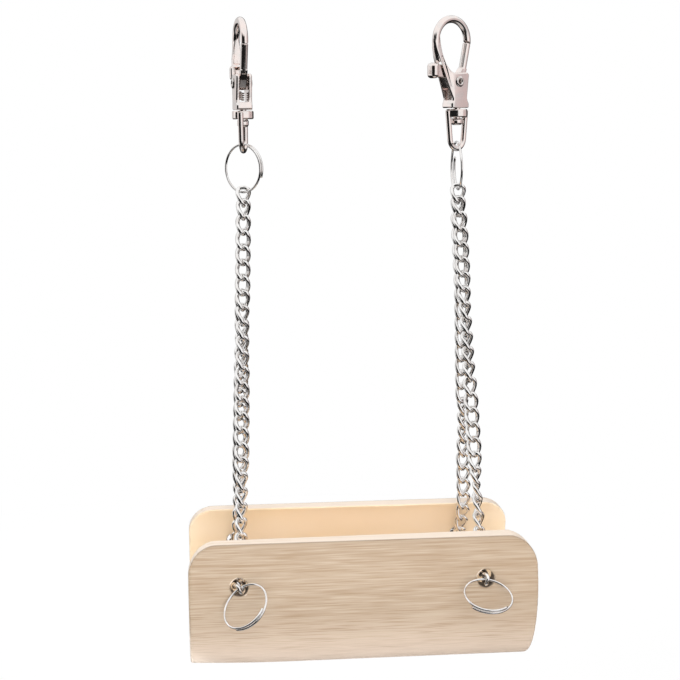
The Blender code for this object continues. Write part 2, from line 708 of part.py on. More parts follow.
def build():
    clasp = {"hook_body": hook_mesh(), "pivot_rivet": rivet_mesh(), "trigger_spring": spring_mesh(),
             "swivel_post": post_mesh(), "trigger": trigger_mesh(), "swivel_eye": eye_mesh()}
    ring = split_ring()
    swing = add_axis("swing_axis", (0, 0, BAR_Z))
    for name, side in SIDES.items():
        build_clasp(name, side, clasp)
        build_top_ring(name + "_top_ring", side, ring, swing)
        sway = add_axis(name + "_sway_axis", (side["x"] * HOOK_X, 0, RING_BOTTOM_Z), swing)
        build_top_link(name + "_top_link", side, sway)
        for wall, sign in WALLS.items():
            strand = name + "_" + wall
            build_strand(strand, side, sign, sway)
            build_stop_ring(strand + "_stop_ring", side, sign, ring, sway)
        if name == "left":
            level = add_axis("seat_axis", (-HOLE_X, 0, HOLE_Z), sway)
    build_seat(level)


clear_scene()
PARTS = new_collection("hamster_swing")
CUTTERS = new_collection("cutters")
build()
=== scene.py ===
"""Hamster swing: the finished look of a bamboo trough seat that hangs on four curb-chain strands.

The file is laid out as an add-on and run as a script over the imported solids. Sizes and colours are
properties, each group of like pieces is an operator, and main() calls the operators in order.
"""

from math import acos, atan2, cos, pi, radians, sin, sqrt

import bmesh
import bpy
import numpy
from bpy.props import FloatProperty, FloatVectorProperty, IntProperty, PointerProperty
from bpy.types import Operator, Panel, PropertyGroup
from mathutils import Matrix, Vector


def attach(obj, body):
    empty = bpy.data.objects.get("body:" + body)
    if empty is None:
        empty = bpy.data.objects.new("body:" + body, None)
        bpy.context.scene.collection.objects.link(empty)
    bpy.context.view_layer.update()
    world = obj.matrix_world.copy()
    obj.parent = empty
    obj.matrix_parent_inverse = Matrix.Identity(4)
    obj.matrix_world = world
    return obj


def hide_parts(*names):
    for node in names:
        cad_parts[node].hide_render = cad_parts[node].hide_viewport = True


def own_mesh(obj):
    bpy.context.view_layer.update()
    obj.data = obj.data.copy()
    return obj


bl_info = {
    "name": "Hamster swing",
    "version": (1, 0, 0),
    "blender": (4, 5, 0),
    "location": "3D View > Sidebar > Hamster swing",
    "description": "Dresses the solids of the hamster swing with its finished pieces",
    "category": "Object",
}

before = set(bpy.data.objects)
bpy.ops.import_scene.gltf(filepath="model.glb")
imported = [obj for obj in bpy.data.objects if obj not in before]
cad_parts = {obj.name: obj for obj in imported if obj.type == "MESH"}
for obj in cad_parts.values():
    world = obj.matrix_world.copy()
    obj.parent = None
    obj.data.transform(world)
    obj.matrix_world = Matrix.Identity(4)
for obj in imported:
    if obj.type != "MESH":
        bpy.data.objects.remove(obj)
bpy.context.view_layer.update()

MM = 0.001

# How each side hangs. Angles are in degrees, and directions seen from above, anticlockwise from +X. bail is
# the half width of the eye's lower end, and the strands pass the rim at rim_x, both in millimetres
SIDES = {
    "left": {"x": -1, "hook": -80, "eye": 76, "bail": 2.75, "ring": -44, "ring_turn": 203, "top_roll": -42,
             "rim_x": -34.1, "stop_droop": 28.5, "stop_roll": 41.4, "stop_yaw": 13.6},
    "right": {"x": 1, "hook": 33, "eye": 27, "bail": 2.45, "ring": -89, "ring_turn": 25, "top_roll": -24,
              "rim_x": 35.7, "stop_droop": 22.9, "stop_roll": -7, "stop_yaw": -5.9},
}
WALLS = {"front": -1, "back": 1}

# How the links of a strand are turned about its run: link number, and degrees from facing front
STRAND_ROLLS = {
    "left_front": ((0, -32), (2, 0), (5, 0), (7, -50), (10, -45), (12, 0), (16, 0), (18, -60), (21, -60)),
    "left_back": ((0, -32), (2, 0), (6, 0), (9, -50), (12, -10), (17, 0), (20, -60), (22, -60)),
    "right_front": ((0, -30), (2, 0), (4, 0), (7, -55), (11, -50), (13, 0), (16, 0), (19, -90), (21, -60)),
    "right_back": ((0, -30), (2, 0), (13, 0), (14, -60), (16, -60), (18, -10), (22, -10)),
}

# Corners in millimetres, in the hook's plane: u from thumb pad to gate, z up from the foot's underside
BODY_OUTLINE = [(2.3, 10.2), (2.95, 9.6), (2.1, 2.9), (2.35, 2.0), (2.85, 1.3), (2.85, 0), (-3.75, 0),
                (-3.75, 1.3), (-3.35, 2.1), (-3.4, 2.8), (-8, 14.4), (-8.75, 17), (-9.05, 19.3),
                (-8.85, 21.2)]
LEVER_OUTLINE = [(3.2, 11.2), (2.1, 8.4), (1.0, 6.3), (0, 5.6), (-4.2, 5.6), (-5.4, 8.6), (-9.2, 8.8),
                 (-9.2, 12.4), (-6.4, 12.3), (-4.4, 11.2), (-2.2, 9.6), (-0.2, 9.5), (1.1, 11.4)]
PAD_LOW = (-10.4, -1.8, 8.4)
PAD_HIGH = (-7.95, 1.8, 12.8)

# Half of the rivet's profile: share of the head's radius, and millimetres above the cheek
RIVET_HEAD = [(0, -2.3), (0.31, -2.2), (0.34, -0.1), (0.50, 0.32), (0.58, 0.4), (0.76, 0.36), (0.92, 0.2),
              (1, 0.02), (0.97, 0)]

# Plated finishes by name: the properties of colour and gloss, and how uneven the surface is
PLATES = {"nickel_wire": ("nickel", "wire_roughness", 0.08),
          "ring_nickel": ("nickel", "ring_roughness", 0.05),
          "cast_nickel": ("cast_nickel", "cast_roughness", 0.12),
          "drawn_spring_steel": ("spring_steel", "cast_roughness", 0.1)}

# Lamps: place, the point that it is aimed at, and size in metres. The stage's properties give the powers
LAMPS = {
    "top": ((-0.15, -0.10, 0.80), (0, 0, -0.10), 0.6),
    "front": ((0, -0.82, 0.18), (0, 0, -0.12), 0.6),
    "back": ((0, 0.80, -0.14), (0, 0, -0.16), 0.6),
    "under": ((0, -0.55, -0.30), (0, 0, -0.17), 0.3),
}

# How finely round shapes are divided
SMALL_SIDES = 48
CULM_SIDES = 160
LINK_POINTS = 32
RING_POINTS = 72
SPRING_POINTS = 24

# A length that passes right through a clasp
THROUGH = 15 * MM
# Corners nearer to each other than this are welded
WELD = 1e-6
# Edges of rivets and posts stay sharp from this angle on
SHARP_EDGE = radians(50)
# Where the underside starts to rise, as a share of the seat's half length
LIFT_FROM = 0.4


def mm(name, description, millimetres):
    return FloatProperty(name=name, description=description, default=millimetres * MM, unit="LENGTH",
                         subtype="DISTANCE", precision=5)


def angle(name, description, degrees):
    return FloatProperty(name=name, description=description, default=radians(degrees), subtype="ANGLE")


def share(name, description, value):
    return FloatProperty(name=name, description=description, default=value, min=0, max=1, subtype="FACTOR")


def number(name, description, value, lowest=0):
    return FloatProperty(name=name, description=description, default=value, min=lowest)


def colour(name, description, red, green, blue):
    return FloatVectorProperty(name=name, description=description, default=(red, green, blue, 1), size=4,
                               min=0, max=1, subtype="COLOR")


class SwingSeat(PropertyGroup):
    axis_z: mm("Axis height", "Height of the culm's axis, from the hanging bar", -160.65)
    span: mm("Length", "Length of the seat", 100)
    offset: mm("Offset", "Distance of the seat's middle from the hooks' middle", 0.5)
    radius: mm("Radius", "Outer radius of the culm", 27)
    bore_left: mm("Left bore", "Inner radius at the left end", 22.4)
    bore_right: mm("Right bore", "Inner radius at the right end", 21.1)
    rim: mm("Rim height", "Height of the cut rim above the axis", 14.6)
    corner: mm("Corner radius", "Radius of the walls' upper corners", 8)
    lift: mm("Lift", "How far the underside rises at the left end", 0.9)
    hole_x: mm("Hole place", "Distance of the chain holes from the middle", 35.2)
    hole_height: mm("Hole height", "Height of the chain holes above the axis", 3.3)
    hole_radius: mm("Hole radius", "Radius of the chain holes", 2.5)


class SwingChain(PropertyGroup):
    wire: mm("Wire radius", "Radius of the links' wire", 0.58)
    width: mm("Link width", "Outer width of a link", 4.5)
    end_wire: mm("End wire radius", "Wire radius of the link in the hole", 0.52)
    end_width: mm("End link width", "Outer width of the link in the hole", 4.1)
    twist: angle("Twist", "How far each end of a link is twisted", -55)
    squareness: number("Squareness", "How full a link's corners are, from 2 for an ellipse", 2.7, 2)
    through: share("Through", "Share of the twist where the stop ring's wire passes a link", 0.7)
    links: IntProperty(name="Links", description="Links in one strand", default=27, min=6)
    top_pitch: mm("Top link", "Pitch of the top link", 4.33)
    top_width: mm("Top link width", "Outer width of the top link", 4.9)
    split: mm("Split", "Distance of a strand from the top link's middle", 0.75)
    beside: mm("Side by side", "Distance of a strand from the middle of its pair", 1.9)
    beside_from: mm("Meet", "Depth below the top link at which the strands meet", 6)
    beside_to: mm("Part", "Depth below the top link at which the strands part", 26)
    lean: mm("Lean", "How far a pair leans to the front, where it parts", 1.5)
    bend_at_split: mm("Bend at the split", "Bend radius where the strands part", 12)
    rim_clearance: mm("Rim clearance", "Distance of a strand from the rim's inner edge", 2.4)
    bend_at_rim: mm("Bend at the rim", "Bend radius where a strand enters the trough", 10)
    bend_at_hole: mm("Bend at the hole", "Bend radius where a strand turns into its hole", 3.5)
    turn_in: mm("Turn-in", "Distance from the bore at which a strand turns", 3)
    bite: mm("Bite", "How far the links reach into each other", 0.2)
    slack: mm("Slack", "Extra clearance at the first and the last link", 0.5)


class SwingRings(PropertyGroup):
    radius: mm("Radius", "Radius of a split ring", 6.85)
    wire: mm("Wire radius", "Radius of the rings' wire", 0.34)
    turns: number("Turns", "Turns of wire in a split ring", 1.25, 1)
    spacing: mm("Turn spacing", "Distance between the turns where the ring is doubled", 0.88)
    play: mm("Play", "Clearance between a ring and the links on it", 0.4)
    eye_play: mm("Eye play", "Clearance between a ring and the eye above it", 0.75)
    wall_gap: mm("Wall gap", "Clearance between a stop ring and the wall", 0.3)


class SwingClasps(PropertyGroup):
    place: mm("Distance", "Distance of each hook from the middle", 31)
    gap: mm("Clearance", "Clearance between moving pieces", 0.3)
    loop_u: mm("Loop middle", "Middle of the loop, across", -2.05)
    loop_z: mm("Loop height", "Middle of the loop, above the foot", 19.3)
    loop_half_width: mm("Loop half width", "Half width of the loop's wire line", 6)
    loop_rise: mm("Loop rise", "Height of the crown above the loop's middle", 5.9)
    loop_drop: mm("Loop drop", "Depth of the loop below its middle", 10.5)
    loop_wire: mm("Loop wire", "Radius of the loop's wire", 1.1)
    body_taper: share("Body taper", "Share of thickness that the body loses up to the loop's middle", 0.66)
    taper_start: mm("Taper start", "Height above the foot at which the body starts to thin", 9.5)
    pivot_u: mm("Pivot place", "Rivet of the lever, across", -1.05)
    pivot_z: mm("Pivot height", "Rivet of the lever, above the foot", 7.5)
    gate_u: mm("Gate tip place", "Joint of gate and loop, across", 3.9)
    gate_z: mm("Gate tip height", "Joint of gate and loop, above the foot", 18.6)
    gate_half: mm("Gate radius", "Radius of the gate's wire", 1.1)
    gate_root_u: mm("Gate root place", "Lower end of the gate's wire, across", 1.95)
    gate_root_z: mm("Gate root height", "Lower end of the gate's wire, above the foot", 10.3)
    cheek_half: mm("Body half thickness", "Half thickness of the hook's body", 2.25)
    bulge: mm("Bulge", "How far each cheek of the body bulges", 0.25)
    bulge_u: mm("Bulge place", "Middle of the bulge, across", -0.5)
    bulge_half_width: mm("Bulge half width", "Half width of the bulge", 3.6)
    slot_half: mm("Slot half width", "Half width of the lever's slot", 1.35)
    slot_floor: mm("Slot floor", "Height of the slot's floor", 2.2)
    slot_top: mm("Slot top", "Height of the slot's upper end", 13.2)
    lever_half: mm("Lever half thickness", "Half thickness of the lever", 1.05)
    tail: mm("Lever tail", "Height of the lever's tail", 5.6)
    rivet: mm("Rivet radius", "Radius of the lever's rivet", 0.65)
    rivet_head: mm("Rivet head", "Radius of the rivet's head", 1.55)
    spring_u: mm("Spring place", "Middle of the spring, across", -2.35)
    spring_radius: mm("Spring radius", "Radius of the spring's curls", 0.85)
    spring_wire: mm("Spring wire", "Radius of the spring's wire", 0.19)
    post: mm("Post radius", "Radius of the swivel post", 1)
    post_bore: mm("Post bore", "Radius of the hole for the post", 1.3)
    post_depth: mm("Post depth", "Depth of the post's hole in the foot", 1.6)
    button: mm("Button radius", "Radius of the post's button", 1.65)
    button_height: mm("Button height", "Height of the post's button", 1.9)
    collar: mm("Collar radius", "Radius of the eye's collar", 3.1)
    collar_height: mm("Collar height", "Height of the eye's collar", 2.4)
    bail_top_half_width: mm("Bail top half width", "Half width of the eye's bail at the collar", 3.15)
    bail_wire: mm("Bail wire", "Radius of the bail's wire", 0.8)
    bail_straight: mm("Bail straight", "Depth at which the bail starts to curve", 8.4)
    bail_bottom: mm("Bail bottom", "Depth of the bail's wire line below the foot", 11.68)


class SwingFinishes(PropertyGroup):
    skin: colour("Outer face", "Sanded outer face of the bamboo", 0.37, 0.278, 0.196)
    skin_line: colour("Fibre line", "Darker fibre lines in the outer face", 0.305, 0.213, 0.135)
    skin_pale: colour("Pale streak", "Paler streaks in the outer face", 0.455, 0.365, 0.275)
    # Painted light: the outer face is painted paler towards the underside, for the light from below
    skin_painted_underlight: colour("Lower face", "Outer face painted paler towards the underside, as light from below", 0.67, 0.54, 0.44)
    lining: colour("Inner face", "Inner face of the culm", 0.92, 0.73, 0.50)
    cut: colour("Cut wood", "Rim and ends", 0.945, 0.81, 0.685)
    bundle: colour("Fibre bundle", "Ends of the fibre bundles in the cut wood", 0.60, 0.42, 0.25)
    # Painted shade: the walls of the chain holes are painted near black for the shade inside them
    drilled: colour("Painted hole shade", "Painted shade on the walls of the chain holes", 0.045, 0.025, 0.014)
    nickel: colour("Nickel", "Bright nickel plate", 0.95, 0.94, 0.93)
    nickel_worn: colour("Worn nickel", "Nickel plate where it is rubbed", 0.83, 0.80, 0.78)
    spring_steel: colour("Spring steel", "Spring and rivet", 0.62, 0.57, 0.54)
    cast_nickel: colour("Cast nickel", "Nickel plate of the hooks", 0.94, 0.83, 0.79)
    wire_roughness: share("Wire roughness", "Gloss of the chain", 0.04)
    ring_roughness: share("Ring roughness", "Gloss of the split rings", 0.1)
    cast_roughness: share("Cast roughness", "Gloss of the hooks", 0.13)


class SwingStage(PropertyGroup):
    camera_place: FloatVectorProperty(name="Camera", description="Place of the camera", unit="LENGTH",
                                      subtype="TRANSLATION", default=(-0.04408, -0.43859, -0.02662))
    camera_turn: FloatVectorProperty(name="Camera turn", description="Rotation of the camera",
                                     subtype="EULER",
                                     default=(radians(81.634), radians(0.510), radians(-5.346)))
    lens: number("Lens", "Focal length in millimetres", 80, 1)
    floor_z: mm("Floor height", "Height of the floor, from the hanging bar", -340)
    sky: number("Sky light", "Strength of the even light from all around", 0.35)
    top: number("Top light", "Power of the upper lamp in watts", 4.3)
    front: number("Front light", "Power of the lamp above the camera in watts", 5.9)
    back: number("Back light", "Power of the lamp behind the swing in watts", 4.2)
    under: number("Under light", "Power of the low lamp in watts", 1.5)
    room_white: colour("Room white", "White walls and ceiling, as mirrored in the metal", 1.0, 1.0, 1.0)
    room_side: colour("Room side", "Mirrored wall on the right", 0.62, 0.53, 0.53)
    room_back: colour("Room back", "Mirrored dim wall behind the swing", 0.04, 0.036, 0.034)
    dark_side: FloatVectorProperty(name="Dark side", description="Direction of the mirrored dark part",
                                   subtype="DIRECTION", default=(-0.65, -0.76, 0))
    room_dark: colour("Room dark", "Mirrored dark part in front and floor", 0.012, 0.012, 0.012)


def mesh_of(bm, name):
    """A new mesh from an edit mesh, which is then freed."""
    mesh = bpy.data.meshes.new(name)
    bm.to_mesh(mesh)
    bm.free()
    return mesh


def moved(mesh, matrix):
    made = mesh.copy()
    made.transform(matrix)
    return made


def linked(name, data):
    """A new object in the scene. One that is only worked on is removed when it is baked."""
    made = bpy.data.objects.new(name, data)
    bpy.context.scene.collection.objects.link(made)
    return made


def apply_settings(owner, settings):
    for name, value in settings.items():
        setattr(owner, name, value)


def baked(source):
    """The evaluated mesh of an object, which is then removed. Curve caps are welded."""
    bpy.context.view_layer.update()
    graph = bpy.context.evaluated_depsgraph_get()
    mesh = bpy.data.meshes.new_from_object(source.evaluated_get(graph))
    bpy.data.objects.remove(source)
    bm = bmesh.new()
    bm.from_mesh(mesh)
    bmesh.ops.remove_doubles(bm, verts=bm.verts, dist=WELD)
    bm.to_mesh(mesh)
    bm.free()
    return mesh


def modify(solid, kind, **settings):
    apply_settings(solid.modifiers.new(kind.lower(), kind), settings)


def traced(points, cyclic, **settings):
    """The mesh of a curve through points, with the given settings."""
    curve = bpy.data.curves.new("line", "CURVE")
    apply_settings(curve, settings)
    spline = curve.splines.new("POLY")
    spline.points.add(len(points) - 1)
    for point, place in zip(spline.points, points):
        point.co = (*place, 1)
    spline.use_cyclic_u = cyclic
    return baked(linked("line", curve))


def bent_wire(points, radius, resolution=3, cyclic=False):
    """A round wire along points."""
    return traced(points, cyclic, dimensions="3D", fill_mode="FULL", bevel_depth=radius,
                  bevel_resolution=resolution, use_fill_caps=not cyclic)


def plate(outline, half_thickness):
    """A flat outline in (u, z), as thick as asked on both sides of its plane."""
    corners = [(u, z, 0) for u, z in outline]
    mesh = traced(corners, True, dimensions="2D", fill_mode="BOTH", extrude=half_thickness)
    mesh.transform(Matrix.Rotation(pi / 2, 4, "X"))
    return mesh


def rod(radius, depth, centre=(0, 0, 0), axis="Z", end_radius=None, segments=SMALL_SIDES):
    """A round bar or cone along an axis."""
    turns = {"X": Matrix.Rotation(pi / 2, 4, "Y"), "Y": Matrix.Rotation(-pi / 2, 4, "X"), "Z": Matrix()}
    last = radius if end_radius is None else end_radius
    bm = bmesh.new()
    bmesh.ops.create_cone(bm, cap_ends=True, segments=segments, radius1=radius, radius2=last, depth=depth)
    bm.transform(Matrix.Translation(centre) @ turns[axis])
    return mesh_of(bm, "rod")


def block(low, high):
    bm = bmesh.new()
    bmesh.ops.create_cube(bm, size=1)
    low, high = Vector(low), Vector(high)
    bm.transform(Matrix.Translation((low + high) / 2) @ Matrix.Diagonal((*(high - low), 1)))
    return mesh_of(bm, "block")


def turned(profile, axis="Z"):
    """A turned solid from (radius, height) pairs that start and end on the axis, top to bottom."""
    bm = bmesh.new()
    made = [bm.verts.new((radius, 0, height)) for radius, height in profile]
    for one, two in zip(made, made[1:]):
        bm.edges.new((one, two))
    solid = linked("turned", mesh_of(bm, "turned"))
    modify(solid, "SCREW", steps=SMALL_SIDES, render_steps=SMALL_SIDES, use_merge_vertices=True,
           merge_threshold=WELD)
    mesh = baked(solid)
    if axis == "Y":
        mesh.transform(Matrix.Rotation(-pi / 2, 4, "X"))
    return mesh


def arc(centre, radius, start, end, steps):
    """Points on an arc in a plane, both ends included. The radius may differ along the two axes."""
    wide, high = radius if isinstance(radius, tuple) else (radius, radius)
    angles = [start + (end - start) * step / steps for step in range(steps + 1)]
    return [(centre[0] + wide * cos(turn), centre[1] + high * sin(turn)) for turn in angles]


def joined(meshes):
    bm = bmesh.new()
    for mesh in meshes:
        bm.from_mesh(mesh)
    return mesh_of(bm, "joined")


def cut(mesh, *steps):
    """A mesh after Boolean steps, each an operation and the tool's mesh."""
    blank = linked("blank", mesh)
    tools = []
    for operation, tool in steps:
        tools.append(linked("tool", tool))
        modify(blank, "BOOLEAN", operation=operation, object=tools[-1])
    made = baked(blank)
    for tool in tools:
        bpy.data.objects.remove(tool)
    return made


def softened(meshes, grain, passes, keep):
    """Overlapping solids made into one, with worn edges: remeshed at a grain, smoothed and thinned out."""
    blank = linked("blank", joined(meshes))
    modify(blank, "REMESH", mode="VOXEL", voxel_size=grain)
    modify(blank, "SMOOTH", iterations=passes)
    modify(blank, "DECIMATE", ratio=keep)
    return baked(blank)


def bevelled(mesh, width, segments):
    solid = linked("solid", mesh)
    modify(solid, "BEVEL", width=width, segments=segments, limit_method="ANGLE", angle_limit=radians(40))
    return baked(solid)


def fit_piece(name, mesh, finish, body, node, sharp=None):
    """A finished piece that stands for a solid and rides on its body."""
    mesh = mesh.copy()
    mesh.name = name
    mesh.materials.clear()
    mesh.materials.append(finish_of(finish, bpy.context.scene))
    mesh.shade_smooth()
    if sharp is not None:
        mesh.set_sharp_from_angle(angle=sharp)
    piece = linked(name, mesh)
    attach(piece, body)
    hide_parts(node)
    return piece


class Finish:
    """A material or world that is put together node by node."""

    def __init__(self, owner):
        owner.use_nodes = True
        self.owner = owner
        self.nodes = owner.node_tree.nodes
        self.links = owner.node_tree.links
        self.shader = self.nodes.get("Principled BSDF")

    def feed(self, socket, value):
        if isinstance(value, bpy.types.NodeSocket):
            self.links.new(value, socket)
        else:
            socket.default_value = value

    def give(self, **inputs):
        """Sets inputs of the main shader. An underscore in a name stands for a space."""
        for name, value in inputs.items():
            self.feed(self.shader.inputs[name.replace("_", " ")], value)

    def add(self, kind, inputs, **settings):
        node = self.nodes.new("ShaderNode" + kind)
        apply_settings(node, settings)
        for key, value in inputs.items():
            self.feed(node.inputs[key], value)
        return node

    def place(self):
        return self.nodes.new("ShaderNodeTexCoord").outputs["Object"]

    def axes(self, vector):
        parts = self.add("SeparateXYZ", {"Vector": vector})
        return [parts.outputs[axis] for axis in "XYZ"]

    def size(self, vector):
        return self.add("VectorMath", {0: vector}, operation="LENGTH").outputs["Value"]

    def distance(self, one, two):
        """How far a point lies from an axis, from its two distances in the plane."""
        return self.size(self.add("CombineXYZ", {"X": one, "Y": two}).outputs[0])

    def math(self, operation, one, two=0.0):
        return self.add("Math", {0: one, 1: two}, operation=operation).outputs[0]

    def times(self, one, two):
        return self.math("MULTIPLY", one, two)

    def ramp(self, value, low, high, start=0.0, end=1.0):
        """A smooth step from start to end while the value goes from low to high."""
        inputs = {"Value": value, "From Min": low, "From Max": high, "To Min": start, "To Max": end}
        return self.add("MapRange", inputs, interpolation_type="SMOOTHSTEP").outputs["Result"]

    def mix(self, factor, one, two):
        return self.add("Mix", {0: factor, 6: one, 7: two}, data_type="RGBA").outputs[2]

    def blend(self, factor, one, two):
        """A mix of two shaders."""
        return self.add("MixShader", {0: factor, 1: one.outputs[0], 2: two.outputs[0]})

    def drawn_out(self, place, along, across):
        """Coordinates whose pattern is drawn out along X."""
        return self.add("Mapping", {"Vector": place, "Scale": (along, across, across)}).outputs["Vector"]

    def noise(self, place, detail, scale=1.0):
        inputs = {"Vector": place, "Scale": scale, "Detail": detail}
        return self.add("TexNoise", inputs).outputs["Fac"]

    def bump(self, height, strength):
        inputs = {"Height": height, "Strength": strength, "Distance": 0.1 * MM}
        self.give(Normal=self.add("Bump", inputs).outputs["Normal"])


def bamboo(seat, finishes):
    """Sanded bamboo: fibres along X, a lined outer face, a smooth peach lining and pale cut edges."""
    wood = Finish(bpy.data.materials.new("sanded_bamboo"))
    place = wood.place()
    x, y, z = wood.axes(place)
    depth = wood.distance(y, z)
    fibres = wood.noise(wood.drawn_out(place, 120, 5000), detail=2)
    streaks = wood.noise(wood.drawn_out(place, 75, 2900), detail=1)
    skin = outer_face(wood, finishes, place, x, z, fibres, streaks)
    # The lining, with patches as pale as the cut wood
    patches = wood.ramp(wood.noise(wood.drawn_out(place, 18, 60), detail=2), 0.3, 0.75, 0.0, 0.4)
    lining = wood.mix(patches, finishes.lining, finishes.cut)
    # Cut wood: fibre bundles end in dots, more of them towards the outer face
    dots = wood.add("TexVoronoi", {"Vector": wood.drawn_out(place, 8, 850), "Scale": 1.0}).outputs["Distance"]
    crowded = wood.ramp(depth, seat.bore_right, seat.radius, 0.1, 0.6)
    sawn = wood.mix(wood.times(wood.ramp(dots, 0.34, 0.16), crowded), finishes.cut, finishes.bundle)
    # Which face it is follows from the distance to the bore and to the outer radius
    ends = {"From Min": seat.offset - seat.span / 2, "From Max": seat.offset + seat.span / 2}
    bores = {"To Min": seat.bore_left, "To Max": seat.bore_right}
    bore = wood.add("MapRange", {"Value": x, **ends, **bores}).outputs["Result"]
    inside = wood.ramp(wood.math("SUBTRACT", depth, bore), 0.25 * MM, 0.9 * MM, 1.0, 0.0)
    outside = wood.ramp(depth, seat.radius - 0.8 * MM, seat.radius - 0.2 * MM)
    grain = wood.mix(inside, wood.mix(outside, sawn, skin), lining)
    # The holes: walls painted near black as painted shade, and an edge that is chipped in places
    aside = wood.math("SUBTRACT", wood.math("ABSOLUTE", x), seat.hole_x)
    reach = wood.distance(aside, wood.math("SUBTRACT", z, seat.hole_height))
    edge = wood.ramp(reach, seat.hole_radius + 0.15 * MM, seat.hole_radius + 0.55 * MM, 0.9, 0.0)
    chips = wood.ramp(wood.noise(place, detail=1, scale=330), 0.54, 0.68)
    grain = wood.mix(wood.times(edge, chips), grain, finishes.cut)
    # Painted shade: the mask of the hole walls, which take the near-black shade colour
    wall = wood.ramp(reach, seat.hole_radius - 0.1 * MM, seat.hole_radius + 0.15 * MM, 1.0, 0.0)
    wood.give(Base_Color=wood.mix(wall, grain, finishes.drilled), Specular_IOR_Level=0.4,
              Roughness=wood.ramp(fibres, 0.2, 0.8, 0.46, 0.64))
    wood.bump(wood.math("ADD", fibres, wood.times(streaks, 0.6)), strength=0.3)
    return wood.owner


def outer_face(wood, finishes, place, x, z, fibres, streaks):
    """The colour of the outer face: painted paler below as light from below, paler in streaks, darker in
    fibre lines and to the right.
    """
    # Painted light from below: the outer face is painted paler towards the underside, and its streaks and
    # fibre lines fainter there
    low = wood.ramp(z, -2 * MM, -27 * MM)
    faint = wood.ramp(low, 0.0, 1.0, 1.0, 0.4)
    bands = wood.noise(wood.drawn_out(place, 14, 260), detail=2)
    skin = wood.mix(wood.ramp(bands, 0.35, 0.70, 0.0, 0.3), finishes.skin, finishes.skin_pale)
    skin = wood.mix(low, skin, finishes.skin_painted_underlight)
    pale = wood.ramp(streaks, 0.50, 0.30, 0.0, 0.75)
    skin = wood.mix(wood.times(pale, faint), skin, finishes.skin_pale)
    broad = wood.ramp(streaks, 0.52, 0.70, 0.0, 0.75)
    dark = wood.math("ADD", broad, wood.ramp(fibres, 0.55, 0.75, 0.0, 0.6))
    skin = wood.mix(wood.times(dark, faint), skin, finishes.skin_line)
    return wood.mix(wood.ramp(x, 5 * MM, 50 * MM, 0.0, 0.16), skin, finishes.skin_line)


def plated(name, bright, worn, roughness, ripple):
    """Bright plate: faint patches of wear in colour and gloss, and a slightly uneven surface."""
    metal = Finish(bpy.data.materials.new(name))
    place = metal.place()
    patches = metal.noise(place, detail=3, scale=420)
    fine = metal.noise(place, detail=2, scale=2600)
    metal.give(Base_Color=metal.mix(metal.ramp(patches, 0.35, 0.75), bright, worn), Metallic=1.0,
               Roughness=metal.ramp(patches, 0.3, 0.8, roughness * 0.7, roughness * 1.6))
    metal.bump(metal.math("ADD", metal.times(patches, 0.8), metal.times(fine, 0.2)), ripple)
    return metal.owner


def finish_of(name, scene):
    """The material of that name, made once."""
    made = bpy.data.materials.get(name)
    if made is not None:
        return made
    looks = scene.swing_finishes
    if name == "sanded_bamboo":
        return bamboo(scene.swing_seat, looks)
    tint, gloss, ripple = PLATES[name]
    return plated(name, getattr(looks, tint), looks.nickel_worn, getattr(looks, gloss), ripple)


def foot_z(clasps):
    return clasps.loop_wire - clasps.loop_z - clasps.loop_rise


def clasp_place(clasps, side, turn):
    """Where a hook or an eye stands, turned about the swivel by degrees."""
    place = Matrix.Translation((side["x"] * clasps.place, 0, foot_z(clasps)))
    return place @ Matrix.Rotation(radians(turn), 4, "Z")


def ring_centre_z(scene):
    clasps, rings = scene.swing_clasps, scene.swing_rings
    bar = foot_z(clasps) - clasps.bail_bottom
    return bar + clasps.bail_wire + rings.eye_play + rings.wire - rings.radius


def hole_z(seat):
    return seat.axis_z + seat.hole_height


def stop_y(scene):
    seat, rings = scene.swing_seat, scene.swing_rings
    return sqrt(seat.radius ** 2 - seat.hole_height ** 2) + rings.wall_gap + rings.wire


def ring_direction(side):
    turn = radians(side["ring"])
    return Vector((cos(turn), sin(turn), 0))


def ring_axis(side):
    return ring_direction(side).cross(Vector((0, 0, 1)))


def ring_lead(side, turn, pitch):
    """How far a winding has moved along a top ring's axis, at an angle in its plane."""
    turned_by = (turn - radians(side["ring_turn"]) + pi) % (2 * pi) - pi
    return pitch * turned_by / (2 * pi)


def stop_frame(side, wall):
    """Axes of a stop ring: X along its wire in the link, Y to its centre, Z square to it."""
    lie = Matrix.Identity(3)
    for key, axis in (("stop_yaw", "Z"), ("stop_droop", "X"), ("stop_roll", "Y")):
        lie = lie @ Matrix.Rotation(-radians(side[key]), 3, axis)
    columns = [column.copy() for column in lie.col]
    if wall < 0:
        columns = [Vector((axis.x, -axis.y, axis.z)) for axis in columns]
        columns[2] = columns[0].cross(columns[1])
    return Matrix(columns).transposed().to_4x4()


def rounded_route(corners, radii, steps=16):
    """Points along straight runs with an arc of the given radius at each inner corner."""
    route = [corners[0]]
    for before, corner, after, radius in zip(corners, corners[1:], corners[2:], radii):
        back, ahead = (before - corner).normalized(), (after - corner).normalized()
        half_angle = acos(back.dot(ahead)) / 2
        reach = radius * cos(half_angle) / sin(half_angle)
        centre = corner + (back + ahead).normalized() * radius / sin(half_angle)
        start = (corner + back * reach - centre).normalized()
        end = (corner + ahead * reach - centre).normalized()
        route += [centre + radius * start.slerp(end, step / steps) for step in range(steps + 1)]
    return route + [corners[-1]]


def route_length(route):
    return sum((two - one).length for one, two in zip(route, route[1:]))


def point_on(route, distance):
    for one, two in zip(route, route[1:]):
        run = (two - one).length
        if distance <= run:
            return one.lerp(two, distance / run)
        distance -= run
    return route[-1] + (route[-1] - route[-2]).normalized() * distance


